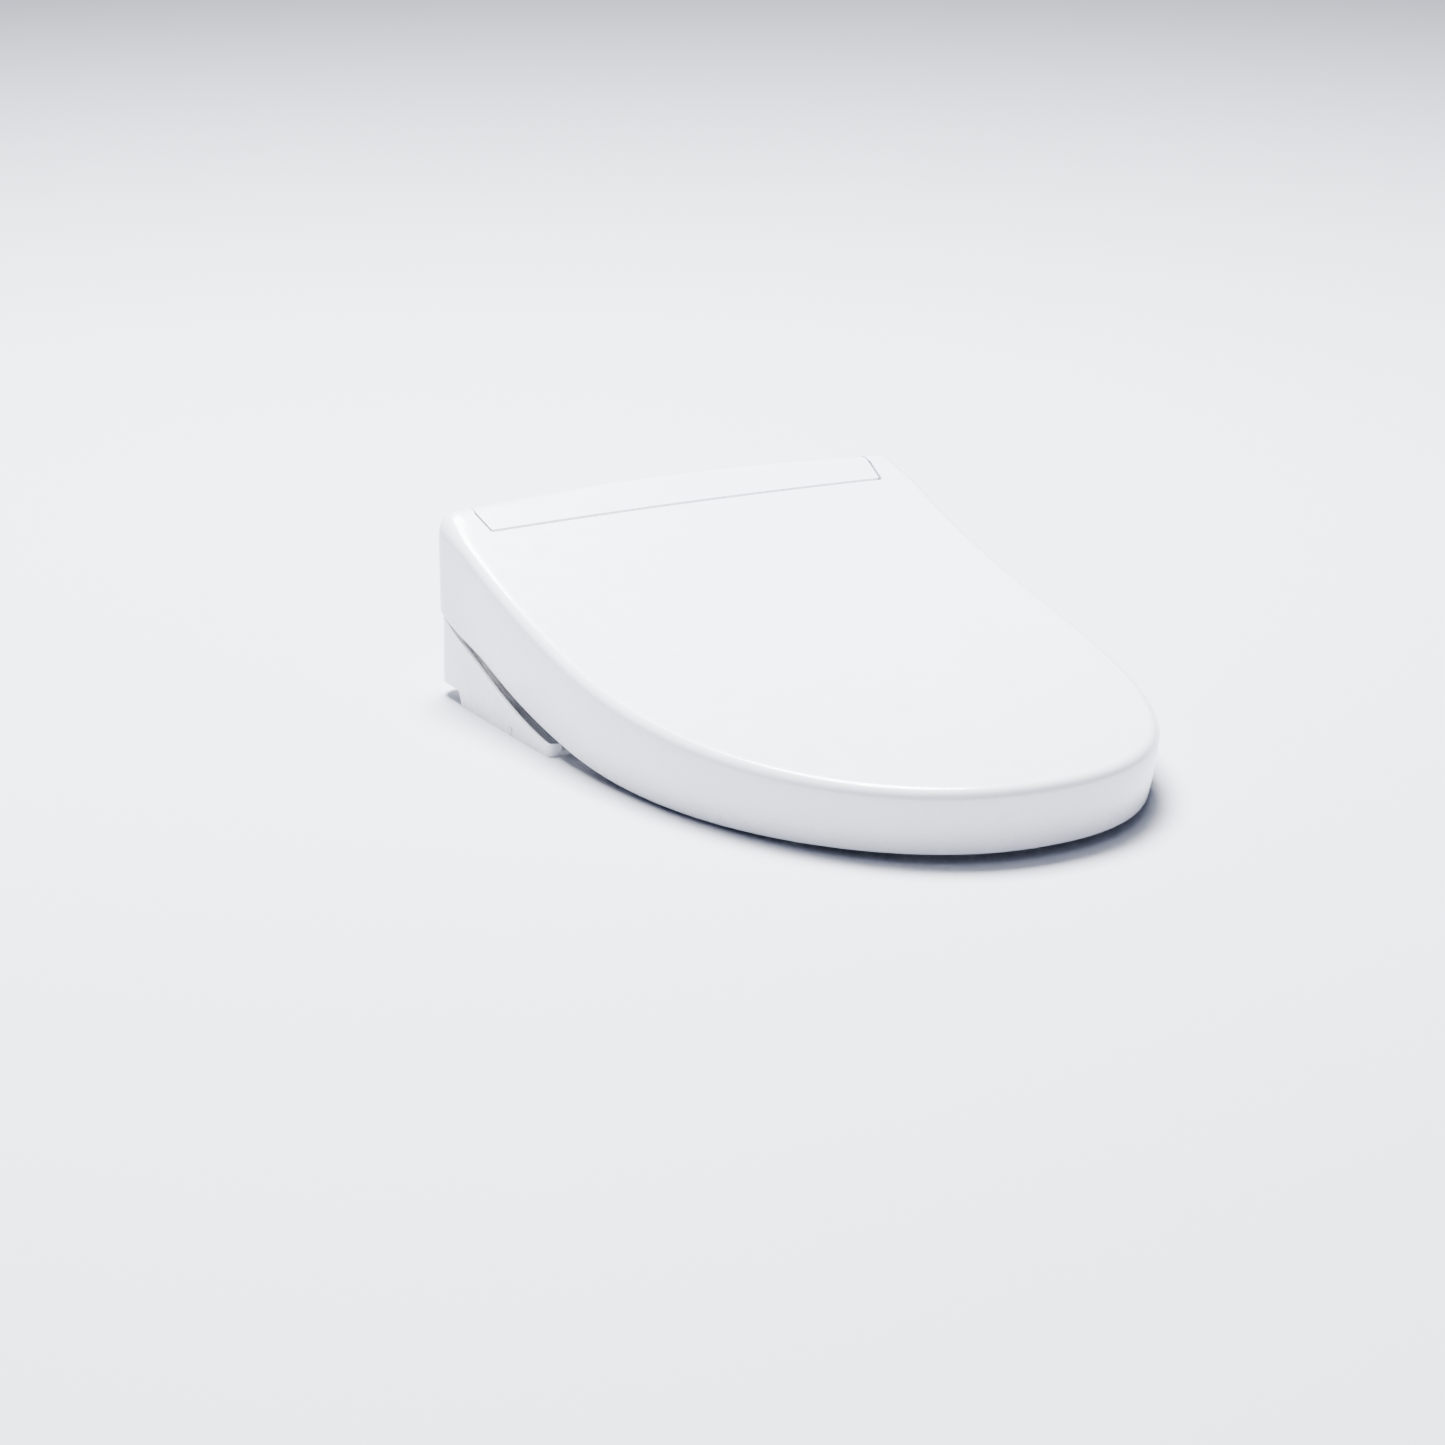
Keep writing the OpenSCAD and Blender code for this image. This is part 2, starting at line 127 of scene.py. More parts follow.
# ---------------------------------------------------------------- mesh helpers
def new_piece(name, verts, faces, material, body):
    mesh = bpy.data.meshes.new(name)
    mesh.from_pydata([tuple(c * MM for c in v) for v in verts], [], faces)
    mesh.validate()
    piece = bpy.data.objects.new(name, mesh)
    bpy.context.scene.collection.objects.link(piece)
    tidy_mesh(mesh)
    mesh.materials.append(material)
    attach(piece, body)
    return piece


def tidy_mesh(mesh):
    edit = bmesh.new()
    edit.from_mesh(mesh)
    bmesh.ops.remove_doubles(edit, verts=edit.verts, dist=MERGE_M)
    bmesh.ops.recalc_face_normals(edit, faces=edit.faces)
    for face in edit.faces:
        face.smooth = True
    edit.to_mesh(mesh)
    edit.free()


def apply_modifiers(piece):
    graph = bpy.context.evaluated_depsgraph_get()
    graph.update()
    mesh = bpy.data.meshes.new_from_object(piece.evaluated_get(graph))
    piece.modifiers.clear()
    piece.data = mesh


def round_edges(piece, width, segments=3, angle=35):
    bevel = piece.modifiers.new("bevel", "BEVEL")
    bevel.width = width * MM
    bevel.segments = segments
    bevel.limit_method = "ANGLE"
    bevel.angle_limit = math.radians(angle)
    bevel.miter_outer = "MITER_ARC"
    bevel.harden_normals = True
    bevel.use_clamp_overlap = True
    apply_modifiers(piece)
    for polygon in piece.data.polygons:
        polygon.use_smooth = True


def bridge(faces, loop_a, loop_b, closed=True):
    count = len(loop_a)
    for i in range(count if closed else count - 1):
        j = (i + 1) % count
        faces.append((loop_a[i], loop_a[j], loop_b[j], loop_b[i]))


def fill_plan(verts, faces, loops, height, spacing):
    """Fills closed loops with a fine skin on height(x, y). A loop inside another is a hole."""
    margin = 0.6 * spacing
    rims = [[Vector(verts[i][:2]) for i in loop] for loop in loops]
    rim = [p for one in rims for p in one]
    order = [i for loop in loops for i in loop]
    low_x, high_x = min(p.x for p in rim), max(p.x for p in rim)
    low_y, high_y = min(p.y for p in rim), max(p.y for p in rim)
    points = list(rim)
    rows = int((high_y - low_y) / spacing)
    columns = int((high_x - low_x) / spacing)
    for r in range(1, rows):
        y = low_y + (high_y - low_y) * r / rows
        spans = crossings(rims, y)
        for c in range(1, columns):
            x = low_x + (high_x - low_x) * c / columns
            if any(a + margin < x < b - margin for a, b in spans):
                points.append(Vector((x, y)))
    edges, start = [], 0
    for one in rims:
        edges += [(start + i, start + (i + 1) % len(one)) for i in range(len(one))]
        start += len(one)
    result = delaunay_2d_cdt(points, edges, [], 1, 1e-5)
    place = {}
    for index, origins in enumerate(result[3]):
        source = next((o for o in origins if o < len(rim)), None)
        if source is not None:
            place[index] = order[source]
        else:
            x, y = result[0][index]
            place[index] = len(verts)
            verts.append((x, y, height(x, y)))
    for face in result[2]:
        middle = sum((result[0][i] for i in face), Vector((0, 0))) / len(face)
        if any(a < middle.x < b for a, b in crossings(rims, middle.y)):
            faces.append(tuple(place[i] for i in face))


def crossings(rims, y):
    """Where a line of constant y is inside the loops, as spans of x."""
    xs = []
    for rim in rims:
        for a, b in zip(rim, rim[1:] + rim[:1]):
            if (a.y <= y) != (b.y <= y):
                xs.append(a.x + (b.x - a.x) * (y - a.y) / (b.y - a.y))
    xs.sort()
    return list(zip(xs[::2], xs[1::2]))


def rounded_path(corners, step):
    """A closed path through (x, y, radius) corners with true arcs, cut to short steps."""
    path = []
    count = len(corners)
    for i, (x, y, radius) in enumerate(corners):
        here = Vector((x, y))
        before = Vector(corners[i - 1][:2])
        after = Vector(corners[(i + 1) % count][:2])
        to_before = (before - here).normalized()
        to_after = (after - here).normalized()
        if radius <= 0:
            path.append(here)
            continue
        half = to_before.angle(to_after) / 2
        reach = radius / math.tan(half)
        start, end = here + to_before * reach, here + to_after * reach
        middle = here + (to_before + to_after).normalized() * (radius / math.sin(half))
        a0, a1 = (start - middle), (end - middle)
        turn = a0.angle_signed(a1)
        pieces = max(3, int(abs(turn) * radius / step) + 1)
        for k in range(pieces + 1):
            angle = -turn * k / pieces
            c, s = math.cos(angle), math.sin(angle)
            path.append(middle + Vector((a0.x * c - a0.y * s, a0.x * s + a0.y * c)))
    return split_long(path, step)


def split_long(path, step):
    fine = []
    for a, b in zip(path, path[1:] + path[:1]):
        pieces = max(1, math.ceil((b - a).length / step - 1e-6))
        fine += [a.lerp(b, k / pieces) for k in range(pieces)]
    return fine


def outward(path):
    """Unit normals of a closed clockwise or anticlockwise path, pointing out."""
    area = sum(a.x * b.y - b.x * a.y for a, b in zip(path, path[1:] + path[:1]))
    side = 1 if area > 0 else -1
    normals = []
    for i, p in enumerate(path):
        q, o = path[(i + 1) % len(path)], path[i - 1]
        t = ((q - p).normalized() + (p - o).normalized()).normalized()
        normals.append(Vector((t.y, -t.x)) * side)
    return normals


def front_curve(inset, count):
    """The rounded front of the plan outline, from +X round the tip to -X."""
    half = HALF_W - inset
    reach = STRAIGHT_Y - FRONT_Y - inset
    points = []
    for i in range(count + 1):
        angle = math.pi * i / count
        c, s = math.cos(angle), math.sin(angle)
        x = half * math.copysign(abs(c) ** (2 / OUTLINE_POWER), c)
        points.append(Vector((x, STRAIGHT_Y - reach * abs(s) ** (2 / OUTLINE_POWER))))
    return points


# ---------------------------------------------------------------- materials
def node_material(name):
    material = bpy.data.materials.new(name)
    material.use_nodes = True
    tree = material.node_tree
    return material, tree, tree.nodes["Principled BSDF"]


def add_noise(tree, scale, detail=3.0, stretch=(1, 1, 1)):
    place = tree.nodes.new("ShaderNodeTexCoord")
    mapping = tree.nodes.new("ShaderNodeMapping")
    mapping.inputs["Scale"].default_value = stretch
    noise = tree.nodes.new("ShaderNodeTexNoise")
    noise.inputs["Scale"].default_value = scale
    noise.inputs["Detail"].default_value = detail
    tree.links.new(place.outputs["Object"], mapping.inputs["Vector"])
    tree.links.new(mapping.outputs["Vector"], noise.inputs["Vector"])
    return noise.outputs["Fac"]


def add_range(tree, source, low, high, start=0.3, end=0.7):
    ramp = tree.nodes.new("ShaderNodeMapRange")
    ramp.inputs["From Min"].default_value = start
    ramp.inputs["From Max"].default_value = end
    ramp.inputs["To Min"].default_value = low
    ramp.inputs["To Max"].default_value = high
    tree.links.new(source, ramp.inputs["Value"])
    return ramp.outputs["Result"]


def add_tint(tree, source, colour_a, colour_b):
    ramp = tree.nodes.new("ShaderNodeValToRGB")
    ramp.color_ramp.elements[0].position = 0.35
    ramp.color_ramp.elements[1].position = 0.65
    ramp.color_ramp.elements[0].color = (*colour_a, 1)
    ramp.color_ramp.elements[1].color = (*colour_b, 1)
    tree.links.new(source, ramp.inputs["Fac"])
    return ramp.outputs["Color"]


def add_bump(tree, shader, source, strength, distance):
    bump = tree.nodes.new("ShaderNodeBump")
    bump.inputs["Strength"].default_value = strength
    bump.inputs["Distance"].default_value = distance
    tree.links.new(source, bump.inputs["Height"])
    tree.links.new(bump.outputs["Normal"], shader.inputs["Normal"])


def add_wear(tree, stretch, scale=45):
    """Hairline wipe marks: thin streaks along one direction, 1 on a mark and 0 off it."""
    streaks = add_noise(tree, scale, 6, stretch)
    return add_range(tree, streaks, 0, 1, 0.6, 0.68)


def combine(tree, first, second, weight):
    """first plus weight times second."""
    node = tree.nodes.new("ShaderNodeMath")
    node.operation = "MULTIPLY_ADD"
    node.inputs[1].default_value = weight
    tree.links.new(second, node.inputs[0])
    tree.links.new(first, node.inputs[2])
    return node.outputs["Value"]


def plastic(name, light, dark, roughness, grain_scale, grain_depth, coat=0.0):
    """Moulded plastic: a faint tone drift, uneven polish, hairline wipe marks and a fine grain."""
    material, tree, shader = node_material(name)
    tint = add_tint(tree, add_noise(tree, 14), dark, light)
    tree.links.new(tint, shader.inputs["Base Color"])
    polish = add_range(tree, add_noise(tree, 60, 4), roughness * 0.8, roughness * 1.25)
    wiped = combine(tree, polish, add_wear(tree, (1, 14, 14)), 0.06)
    wiped = combine(tree, wiped, add_wear(tree, (16, 1, 10), 30), 0.05)
    tree.links.new(wiped, shader.inputs["Roughness"])
    shader.inputs["IOR"].default_value = 1.5
    shader.inputs["Coat Weight"].default_value = coat
    shader.inputs["Coat Roughness"].default_value = 0.08
    swell = combine(tree, add_noise(tree, grain_scale, 2), add_noise(tree, 9, 1), 4.0)
    add_bump(tree, shader, swell, 0.25, grain_depth)
    return material


MATERIALS = {
    "white_gloss": plastic("white_gloss_plastic", (0.87, 0.88, 0.915), (0.85, 0.86, 0.9),
                           0.24, 900, 2e-5, 0.3),
    "seat_plastic": plastic("seat_plastic", (0.88, 0.88, 0.885), (0.86, 0.86, 0.87), 0.3, 1200, 2e-5),
    "case_plastic": plastic("case_plastic", (0.82, 0.825, 0.84), (0.79, 0.795, 0.81), 0.45, 1500, 4e-5),
    "grey_plastic": plastic("grey_plastic", (0.32, 0.33, 0.35), (0.28, 0.29, 0.31), 0.5, 1500, 5e-5),
    "clear_grey": plastic("clear_grey_plastic", (0.5, 0.55, 0.6), (0.45, 0.5, 0.56), 0.2, 500, 2e-5),
    "rubber_grey": plastic("grey_rubber", (0.42, 0.42, 0.43), (0.36, 0.36, 0.37), 0.7, 2000, 6e-5),
    "rubber_dark": plastic("dark_rubber", (0.05, 0.05, 0.055), (0.035, 0.035, 0.04), 0.65, 2000, 6e-5),
    "dark_lens": plastic("dark_lens", (0.02, 0.02, 0.025), (0.015, 0.015, 0.02), 0.12, 300, 1e-5),
    "board_green": plastic("circuit_board", (0.03, 0.2, 0.09), (0.02, 0.13, 0.06), 0.35, 700, 4e-5),
}


def metal(name, colour, roughness, stretch):
    """Bare metal with fine drawn lines and slightly uneven polish."""
    material, tree, shader = node_material(name)
    lines = add_noise(tree, 300, 3, stretch)
    dark = tuple(c * 0.85 for c in colour)
    tree.links.new(add_tint(tree, lines, dark, colour), shader.inputs["Base Color"])
    tree.links.new(add_range(tree, lines, roughness * 0.7, roughness * 1.3), shader.inputs["Roughness"])
    shader.inputs["Metallic"].default_value = 1.0
    add_bump(tree, shader, lines, 0.15, 2e-5)
    return material


MATERIALS.update({
    "steel": metal("steel", (0.62, 0.62, 0.64), 0.3, (0.1, 1, 1)),
    "chrome": metal("chrome", (0.85, 0.86, 0.88), 0.08, (1, 1, 1)),
    "brass_part": metal("brass", (0.78, 0.6, 0.3), 0.3, (1, 1, 0.2)),
    "heater_foil": metal("heater_foil", (0.75, 0.75, 0.76), 0.35, (1, 0.3, 1)),
})


# ---------------------------------------------------------------- moulded shells
def thicken(piece, thickness, rim, segments=3):
    """Gives an open skin its wall thickness, inward, and rounds the rims."""
    solid = piece.modifiers.new("wall", "SOLIDIFY")
    solid.thickness = thickness * MM
    solid.offset = -1
    solid.use_even_offset = True
    solid.use_quality_normals = True
    apply_modifiers(piece)
    round_edges(piece, rim, segments, 50)


def rear_at(x, rear):
    """Where the bowed rear edge is at x, for an edge that reaches rear in the middle."""
    return rear - REAR_BOW * (x / HALF_W) ** 2


def corner_path(rear, half, radius, steps):
    """The rounded rear corner in plan, running on smoothly from the bowed rear edge."""
    start = math.atan2(1, 2 * REAR_BOW * (half - radius) / HALF_W ** 2)
    touch = half - radius + radius * math.cos(start)
    middle = Vector((half - radius, rear_at(touch, rear) - radius * math.sin(start)))
    return arc(middle, radius, math.degrees(start), 0, steps)


def arc(middle, radius, start, end, steps):
    angles = [math.radians(mix(start, end, k / steps)) for k in range(steps + 1)]
    return [middle + radius * Vector((math.cos(a), math.sin(a))) for a in angles]


def outline_path():
    """Open plan path round the lid's outside, from the right rear arm to the left one."""
    corner = corner_path(REAR_Y, HALF_W, CORNER_R, 28)
    path = [Vector((x, rear_at(x, REAR_Y))) for x in (NOTCH_REAR_X, 168.0, 171.5)] + corner
    path += [Vector((HALF_W, mix(corner[-1].y, STRAIGHT_Y, k / 60))) for k in range(1, 60)]
    side_count = len(path)
    path += front_curve(0, 220)
    return path + [Vector((-p.x, p.y)) for p in reversed(path[:side_count])]


def open_normals(path):
    normals = []
    for i, p in enumerate(path):
        q, o = path[min(i + 1, len(path) - 1)], path[max(i - 1, 0)]
        t = (q - o).normalized()
        normals.append(Vector((-t.y, t.x)))
    return normals


def edge_radius(p):
    """Top edge radius under one outline point: widest round the back."""
    sides = mix(SIDE_EDGE, FRONT_EDGE, smooth(along(p.y) * 1.3))
    return mix(sides, REAR_EDGE, smooth((p.y - 5) / 45))


def notch_path():
    """The notch's own edge, from the right arm round to the left one."""
    rear = rear_at(NOTCH_REAR_X, REAR_Y) - REAR_EDGE
    corner_at = NOTCH_FRONT_Y + 2.5
    side = [Vector((mix(NOTCH_REAR_X, NOTCH_FRONT_X, k / 12), mix(rear, corner_at, k / 12)))
            for k in range(1, 12)]
    corner = arc(Vector((NOTCH_FRONT_X - 2.5, corner_at)), 2.5, 0, -90, 5)
    across = [Vector((mix(NOTCH_FRONT_X - 2.5, 0, k / 40), NOTCH_FRONT_Y)) for k in range(1, 41)]
    half = side + corner + across
    return half + [Vector((-p.x, p.y)) for p in reversed(half[:-1])]


def build_lid():
    path = outline_path()
    normals = open_normals(path)
    verts, faces, loops = [], [], []
    edge_steps, skirt_steps = 10, 9

    def add_ring(place):
        loop = []
        for p, n in zip(path, normals):
            loop.append(len(verts))
            verts.append(place(p, n))
        loops.append(loop)

    for k in range(edge_steps + 1):
        def on_edge(p, n, turn=math.pi / 2 * k / edge_steps):
            radius = edge_radius(p)
            q = p - n * radius * (1 - math.sin(turn))
            return q.x, q.y, lid_top(q.x, q.y) - radius * (1 - math.cos(turn))
        add_ring(on_edge)
    for k in range(1, skirt_steps + 1):
        def on_skirt(p, n, down=k / skirt_steps):
            low = ARM_SLOT_Z if p.y > 0 and abs(p.x) < ARM_SLOT_X else lid_low(p.y)
            q = p - n * SKIRT_DRAFT * down ** 1.5 * smooth((40 - p.y) / 60)
            return q.x, q.y, mix(lid_top(p.x, p.y) - edge_radius(p), low, down)
        add_ring(on_skirt)
    for upper, lower in zip(loops, loops[1:]):
        bridge(faces, upper, lower, closed=False)
    notch = []
    for p in reversed(notch_path()):
        notch.append(len(verts))
        verts.append((p.x, p.y, lid_top(p.x, p.y)))
    fill_plan(verts, faces, [loops[0] + notch], lid_top, 5)
    lid = new_piece("lid_cover", verts, faces, MATERIALS["white_gloss"], "lid")
    face_outward(lid)
    thicken(lid, WALL, 0.9)
    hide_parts("lid_shell")
    for side in (1, -1):
        ear = slab("lid_ear_" + ("right" if side > 0 else "left"), lid_ear_outline(), side * ARM_SLOT_X,
                   side * PIN_END_X, 0.8, MATERIALS["white_gloss"], "lid")


def lid_ear_outline():
    """Side view of a hinge ear: round at the pin, reaching up to the lid's skin."""
    ends = (AXIS_Y + EAR_RADIUS - 2, AXIS_Y - EAR_RADIUS)
    tops = [Vector((y, lid_top(HALF_W - 8, y) - WALL - 6)) for y in ends]
    return tops + arc(Vector((AXIS_Y, AXIS_Z)), EAR_RADIUS, 180, 360, 14)


def face_outward(piece):
    """Turns the skin's faces so that the largest flat area looks up."""
    total = sum(p.normal.z * p.area for p in piece.data.polygons)
    if total < 0:
        piece.data.flip_normals()


def slab(name, outline, x0, x1, rim, material, body):
    """A flat plate across X with rounded edges, from a side-view outline."""
    verts, faces = [], []
    count = len(outline)
    for x in (min(x0, x1), max(x0, x1)):
        verts += [(x, p.x, p.y) for p in outline]
    faces.append(tuple(range(count)))
    faces.append(tuple(reversed(range(count, 2 * count))))
    bridge(faces, list(range(count)), list(range(count, 2 * count)))
    piece = new_piece(name, verts, faces, material, body)
    round_edges(piece, rim, 3)
    return piece


# ---------------------------------------------------------------- rear panel between the lid's arms
def build_panel():
    """The fixed cover: top that carries on the lid's slope, rounded back and bowed rear wall."""
    inset = 0.6
    front = NOTCH_FRONT_Y + PANEL_GAP
    radius = REAR_EDGE
    flat_end = REAR_Y - inset - radius
    turn_end = flat_end + radius * math.pi / 2
    wall_end = turn_end + 24

    def place(x, t):
        rear = rear_at(x, REAR_Y - inset)
        if t < flat_end:
            y = mix(front, rear - radius, (t - front) / (flat_end - front))
            return x, y, lid_top(x, y)
        angle = min(math.pi / 2, (t - flat_end) / radius)
        y = rear - radius + radius * math.sin(angle)
        return x, y, lid_top(x, y) - radius * (1 - math.cos(angle)) - max(0.0, t - turn_end)

    right = [(PANEL_FRONT_X, front, 2.0), (PANEL_REAR_X, flat_end, 60), (PANEL_REAR_X, wall_end, 1.5)]
    rim = rounded_path(right + [(-x, t, r) for x, t, r in reversed(right)], 2.0)
    verts, faces = [(p.x, p.y, 0.0) for p in rim], []
    fill_plan(verts, faces, [list(range(len(rim)))], lambda x, t: 0.0, 2.5)
    verts = [place(x, t) for x, t, _ in verts]
    panel = new_piece("rear_panel", verts, faces, MATERIALS["white_gloss"], "unit")
    face_outward(panel)
    thicken(panel, 6.0, 0.5)
    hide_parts("top_cover")


# ---------------------------------------------------------------- side covers
def case_edge(y):
    back = REAR_Y - y
    return CASE_TOP - CASE_SLOPE * back + CASE_CURVE * back * back


def case_path():
    """Plan path of the casing's side: rear corner, straight side, then a turn in at the front."""
    half = HALF_W - CASE_CLEAR
    turn = 5.0
    front = REAR_Y - 190
    corner = corner_path(REAR_Y - 2, half, CORNER_R - CASE_CLEAR, 20)
    side_end = [Vector((half, front + turn))]
    turn_in = arc(Vector((half - turn, front + turn)), turn, 0, -90, 8)[1:]
    return corner + side_end + turn_in + [Vector((half - 11, front))]


def at_length(path, s):
    """The point and outward normal at distance s along an open path."""
    for a, b in zip(path, path[1:]):
        step = (b - a).length
        if s <= step or b is path[-1]:
            t = (b - a).normalized()
            return a + t * s, Vector((-t.y, t.x))
        s -= step


def build_side_cover(side):
    """Skin that leans out to the bowl, wraps the rear corner and turns in at the front."""
    path = case_path()
    total = sum((b - a).length for a, b in zip(path, path[1:]))
    side_start = sum((b - a).length for a, b in zip(path[:21], path[1:21]))
    step_s = side_start + path[20].y - CASE_STEP_Y
    top = []
    for k in range(41):
        s = total * (0.004 + 0.992 * k / 40)
        y = at_length(path, s)[0].y
        top.append((s, max(CASE_EDGE_MIN, case_edge(y)), 0))
    base = [(total, 0.05, 0.8), (step_s + 2, 0.05, 1.0), (step_s - 2.5, CASE_STEP, 5.0),
            (0, CASE_STEP, 1.0)]
    rim = rounded_path(list(reversed(base)) + list(reversed(top)), 2.0)
    verts, faces = [(p.x, p.y, 0.0) for p in rim], []
    fill_plan(verts, faces, [list(range(len(rim)))], lambda s, z: 0.0, 2.5)

    def place(s, z):
        p, n = at_length(path, s)
        q = p - n * CASE_LEAN * z / CASE_TOP * mix(0.25, 1, smooth((30 - p.y) / 60))
        return side * q.x, q.y, z

    verts = [place(s, z) for s, z, _ in verts]
    word = "right" if side > 0 else "left"
    cover = new_piece("side_skin_" + word, verts, faces, MATERIALS["white_gloss"], "unit")
    if sum(p.normal.x * p.area for p in cover.data.polygons) * side < 0:
        cover.data.flip_normals()
    thicken(cover, SKIN_WALL, 0.8)
    if side > 0:
        cut_out(cover, service_holes())
        cover.data.set_sharp_from_angle(angle=math.radians(30))
    return cover


def service_holes():
    """Cutters for the right skin: the cartridge bay, and the round holes of SERVICE_HOLES."""
    holes = [block("bay_cut", (SKIN_CUT_IN, -22.5, 13.5), (SKIN_CUT_OUT, 8.5, 34.5), 0.3)]
    for y, z, radius in SERVICE_HOLES:
        ring = arc(Vector((y, z)), radius, 0, 345, 23)
        holes.append(slab("round_cut", ring, SKIN_CUT_IN, SKIN_CUT_OUT, 0.2,
                          MATERIALS["white_gloss"], "unit"))
    return holes


# ---------------------------------------------------------------- seat ring
def hole_reach(x, y):
    """1 on the edge of the seat's opening, more outside it."""
    gx, gy = abs(x) / HOLE_HALF_W, abs(y - HOLE_Y) / HOLE_HALF_L
    return (gx ** HOLE_POWER + gy ** HOLE_POWER) ** (1 / HOLE_POWER)


def hole_loop(count):
    loop = []
    for i in range(count):
        c, s = math.cos(2 * math.pi * i / count), math.sin(2 * math.pi * i / count)
        x = HOLE_HALF_W * math.copysign(abs(c) ** (2 / HOLE_POWER), c)
        loop.append(Vector((x, HOLE_Y + HOLE_HALF_L * math.copysign(abs(s) ** (2 / HOLE_POWER), s))))
    return loop


def seat_loop(count):
    """Closed plan path of the seat's outside, with round rear corners."""
    half, corner = HALF_W - SEAT_INSET, 24.0
    turn = arc(Vector((half - corner, SEAT_REAR - corner)), corner, 90, 0, 14)
    side = [Vector((half, mix(SEAT_REAR - corner, STEP_Y + 0.4, k / 20))) for k in range(1, 21)]
    side += [Vector((half, mix(STEP_Y - 0.4, STRAIGHT_Y, k / 6))) for k in range(6)]
    rear = [Vector((mix(0, half - corner, k / 30), SEAT_REAR)) for k in range(1, 30)]
    right = rear + turn + side
    return right + front_curve(SEAT_INSET, count) + [Vector((-p.x, p.y)) for p in reversed(right)]


def seat_top(x, y):
    """The sitting face: follows the lid's slope and dips towards the opening."""
    dip = 3.2 * (1 - smooth((hole_reach(x, y) - 1) * 2.2))
    return lid_top(x, y) - CROWN - SEAT_DROP - dip


def seat_low(y):
    if y < STEP_Y:
        return SEAT_CLEAR
    return BRIDGE_LOW + (y - STEP_Y) * (BRIDGE_REAR_LOW - BRIDGE_LOW) / (SEAT_REAR - STEP_Y)


def build_release():
    """The small round release button on the left side, in its dark ring."""
    for name, radius, reach, body, slot in (("release_ring", 2.7, 190.5, "unit", "grey_plastic"),
                                            ("release_cap", 2.2, 190.9, "release", "white_gloss")):
        ring = arc(Vector(RELEASE_AT), radius, 0, 345, 23)
        disc = slab(name, ring, -reach, -186, 0.25, MATERIALS[slot], body)
    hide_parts("release_button")


def build_seat():
    verts, faces = [], []
    rims = []
    for loop, radius in ((seat_loop(150), 9.0), (hole_loop(150), 11.0)):
        normals = outward(loop)
        if radius > 10:
            normals = [-n for n in normals]
        rings = []
        for k in range(9):
            turn = math.pi / 2 * k / 8
            ring = []
            for p, n in zip(loop, normals):
                q = p - n * radius * (1 - math.sin(turn))
                ring.append(len(verts))
                verts.append((q.x, q.y, seat_top(q.x, q.y) - radius * (1 - math.cos(turn))))
            rings.append(ring)
        for k in range(1, 6):
            ring = []
            for p in loop:
                ring.append(len(verts))
                verts.append((p.x, p.y, mix(seat_top(p.x, p.y) - radius, seat_low(p.y), k / 5)))
            rings.append(ring)
        for upper, lower in zip(rings, rings[1:]):
            bridge(faces, upper, lower)
        rims.append(rings[0])
    fill_plan(verts, faces, rims, seat_top, 5)
    seat = new_piece("seat_ring", verts, faces, MATERIALS["seat_plastic"], "seat")
    face_outward(seat)
    thicken(seat, WALL, 0.8)
    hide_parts("seat_top_shell")
    for side in (1, -1):
        arm = slab("seat_arm_" + ("right" if side > 0 else "left"), seat_arm_outline(),
                   side * ARM_INNER_X, side * ARM_OUTER_X, 1.6, MATERIALS["seat_plastic"], "seat")


def build_heater():
    """The heating foil, a thin sheet bonded under the sitting face."""
    margin = 17.0
    verts, faces, rims = [], [], []
    for loop, side in ((seat_loop(90), -1), (hole_loop(90), 1)):
        rim = []
        for p, n in zip(loop, outward(loop)):
            q = p + n * side * margin
            rim.append(len(verts))
            verts.append((q.x, q.y, foil_height(q.x, q.y)))
        rims.append(rim)
    fill_plan(verts, faces, rims, foil_height, 9)
    foil = new_piece("heater_sheet", verts, faces, MATERIALS["heater_foil"], "seat")
    face_outward(foil)
    thicken(foil, 0.5, 0.1, 1)
    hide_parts("seat_heater")


def foil_height(x, y):
    return seat_top(x, y) - WALL - 0.4


def seat_arm_outline():
    """Side view of an arm: a round eye on the pin, sweeping down into the ring."""
    eye = arc(Vector((AXIS_Y, AXIS_Z)), EYE_RADIUS, -100, 100, 18)
    top, low = [], []
    for k in range(13):
        t = k / 12
        y = mix(AXIS_Y - 4, SEAT_REAR - 14, t)
        top.append(Vector((y, mix(AXIS_Z + 7, 88.5, smooth(t)))))
        low.append(Vector((y, mix(AXIS_Z - 7, 70.5, smooth(t)))))
    return eye + top + list(reversed(low))


# ---------------------------------------------------------------- cover over the works
def cut_out(piece, cutters):
    """Takes the cutters' shapes out of the piece, and then removes the cutters."""
    for cutter in cutters:
        modifier = piece.modifiers.new("cut", "BOOLEAN")
        modifier.operation = "DIFFERENCE"
        modifier.solver = "EXACT"
        modifier.object = cutter
    apply_modifiers(piece)
    for cutter in cutters:
        bpy.data.objects.remove(cutter)


def block(name, low, high, rim):
    """A box with rounded edges, built from its two corners."""
    corners = ((low[1], low[2]), (high[1], low[2]), (high[1], high[2]), (low[1], high[2]))
    outline = [Vector(p) for p in corners]
    return slab(name, outline, low[0], high[0], rim, MATERIALS["white_gloss"], "unit")


def cover_outline(inset):
    """Side view of the upper cover, with every bend rounded."""
    low = 5.0 if inset else 8.0
    rear = 56.0 if inset else 52.0
    corners = [(CASE_FRONT + inset, low, 1.0), (CASE_FRONT + inset, 40 - inset, 9 - inset),
               (-38, 62 - 1.1 * inset, 40), (16 + inset / 2, 109 - inset, 14 - inset),
               (rear, 107 - inset, 1.5), (rear, 60, 1.0)]
    return rounded_path(corners, 4.0)


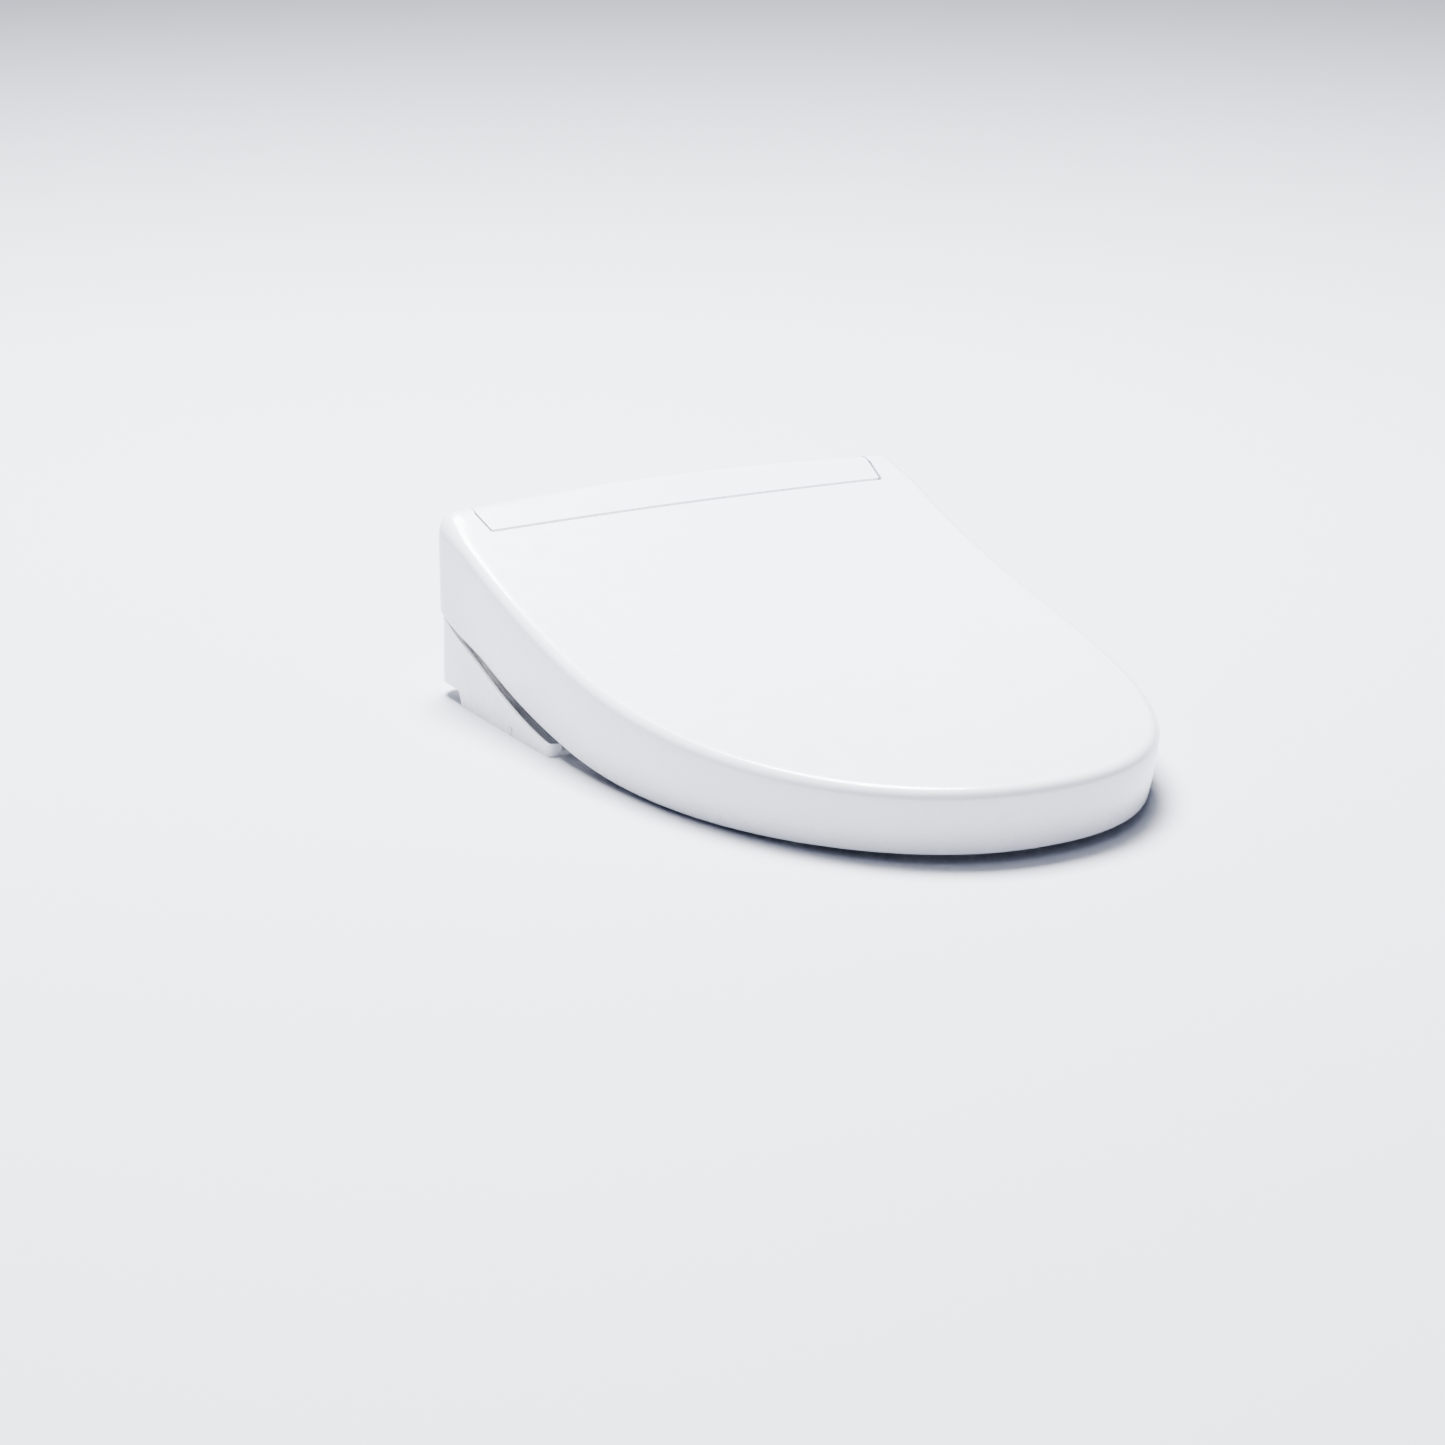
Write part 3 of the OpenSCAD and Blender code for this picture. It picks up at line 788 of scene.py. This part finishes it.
def build_upper_cover():
    """The cover over the works: hollow, with a window each for the wand and the dryer's flap."""
    gloss = MATERIALS["white_gloss"]
    inner = WORKS_HALF_W - WORKS_WALL
    cover = slab("works_cover", cover_outline(0), -WORKS_HALF_W, WORKS_HALF_W, 4.0, gloss, "unit")
    inside = slab("inside", cover_outline(WORKS_WALL), -inner, inner, 1.0, gloss, "unit")
    windows = []
    for x in (WAND_X, FLAP_X):
        low = (x - WINDOW_HALF_W, CASE_FRONT - 5, 7)
        windows.append(block("window", low, (x + WINDOW_HALF_W, CASE_FRONT + 4, 36.2), 1.5))
    cut_out(cover, [inside] + windows)
    for polygon in cover.data.polygons:
        polygon.use_smooth = True
    cover.data.set_sharp_from_angle(angle=math.radians(35))
    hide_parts("upper_cover")


# ---------------------------------------------------------------- CAD nodes with softened edges
def refine(node, slot, width):
    """A copy of a CAD node that stands for it, with rounded edges, or sharp ones at width 0."""
    source = frame["nodes"][node]
    piece = bpy.data.objects.new(node + "_moulded", source.data.copy())
    bpy.context.scene.collection.objects.link(piece)
    edit = bmesh.new()
    edit.from_mesh(piece.data)
    bmesh.ops.remove_doubles(edit, verts=edit.verts, dist=MERGE_M)
    bmesh.ops.dissolve_limit(edit, angle_limit=math.radians(0.5), verts=edit.verts, edges=edit.edges)
    edit.to_mesh(piece.data)
    edit.free()
    piece.data.materials.clear()
    piece.data.materials.append(MATERIALS[slot])
    if width:
        round_edges(piece, width, 2)
    else:
        piece.data.set_sharp_from_angle(angle=math.radians(20))
    body = next(b for b, nodes in BODIES.items() if node in nodes)
    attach(piece, body)
    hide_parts(node)


BODIES = frame["record"]["behaviour"]["bodies"]
SLOTS = {row["node"]: row["material_slot"] for row in frame["record"]["subparts"]}


# ---------------------------------------------------------------- camera, floor and lights
def build_camera():
    camera = bpy.data.objects.new("camera", bpy.data.cameras.new("camera"))
    bpy.context.scene.collection.objects.link(camera)
    camera.location = (-1.349, -2.469, 0.838)
    target = Vector((-0.0641, -0.145, 0.0112))
    camera.rotation_euler = (target - camera.location).to_track_quat("-Z", "Y").to_euler()
    camera.data.sensor_width = 36
    camera.data.lens = 99.7
    bpy.context.scene.camera = camera


def build_floor():
    mesh = bpy.data.meshes.new("floor")
    size = FLOOR_HALF_M
    corners = [(-size, -size, 0), (size, -size, 0), (size, size, 0), (-size, size, 0)]
    mesh.from_pydata(corners, [], [(0, 1, 2, 3)])
    floor = bpy.data.objects.new("floor", mesh)
    bpy.context.scene.collection.objects.link(floor)
    material, tree, shader = node_material("pale_floor")
    shader.inputs["Base Color"].default_value = (0.6, 0.605, 0.64, 1)
    shader.inputs["Roughness"].default_value = 0.6
    mesh.materials.append(material)


def area_light(name, place, aim, size, power, colour):
    light = bpy.data.lights.new(name, "AREA")
    light.shape = "RECTANGLE"
    light.size, light.size_y = size
    light.energy = power
    light.color = colour
    holder = bpy.data.objects.new(name, light)
    bpy.context.scene.collection.objects.link(holder)
    holder.location = place
    direction = Vector(aim) - Vector(place)
    holder.rotation_euler = direction.to_track_quat("-Z", "Y").to_euler()


def build_lights():
    world = bpy.data.worlds.new("studio")
    bpy.context.scene.world = world
    world.use_nodes = True
    world.node_tree.nodes["Background"].inputs["Color"].default_value = (0.62, 0.7, 1.0, 1)
    world.node_tree.nodes["Background"].inputs["Strength"].default_value = 0.35
    area_light("overhead", (0.15, 0.9, 3.0), (0, -0.1, 0), (1.5, 1.5), 950, (0.95, 0.97, 1.0))


build_camera()
build_floor()
build_lights()
build_lid()
build_panel()
for hand, node_name in ((1, "side_cover_right"), (-1, "side_cover_left")):
    skin = build_side_cover(hand)
    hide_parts(node_name)
build_seat()
build_heater()
build_release()
build_upper_cover()
# Nodes with walls too thin to round, and nodes that a piece above stands for
THIN = ("seat_base_shell", "control_board", "power_board", "air_heater")
REBUILT = ("lid_shell", "top_cover", "side_cover_left", "side_cover_right", "seat_top_shell", "seat_heater",
           "upper_cover", "release_button")
for node_name, slot_name in SLOTS.items():
    if node_name not in REBUILT:
        refine(node_name, slot_name, 0 if node_name in THIN else EDGE_ROUND)
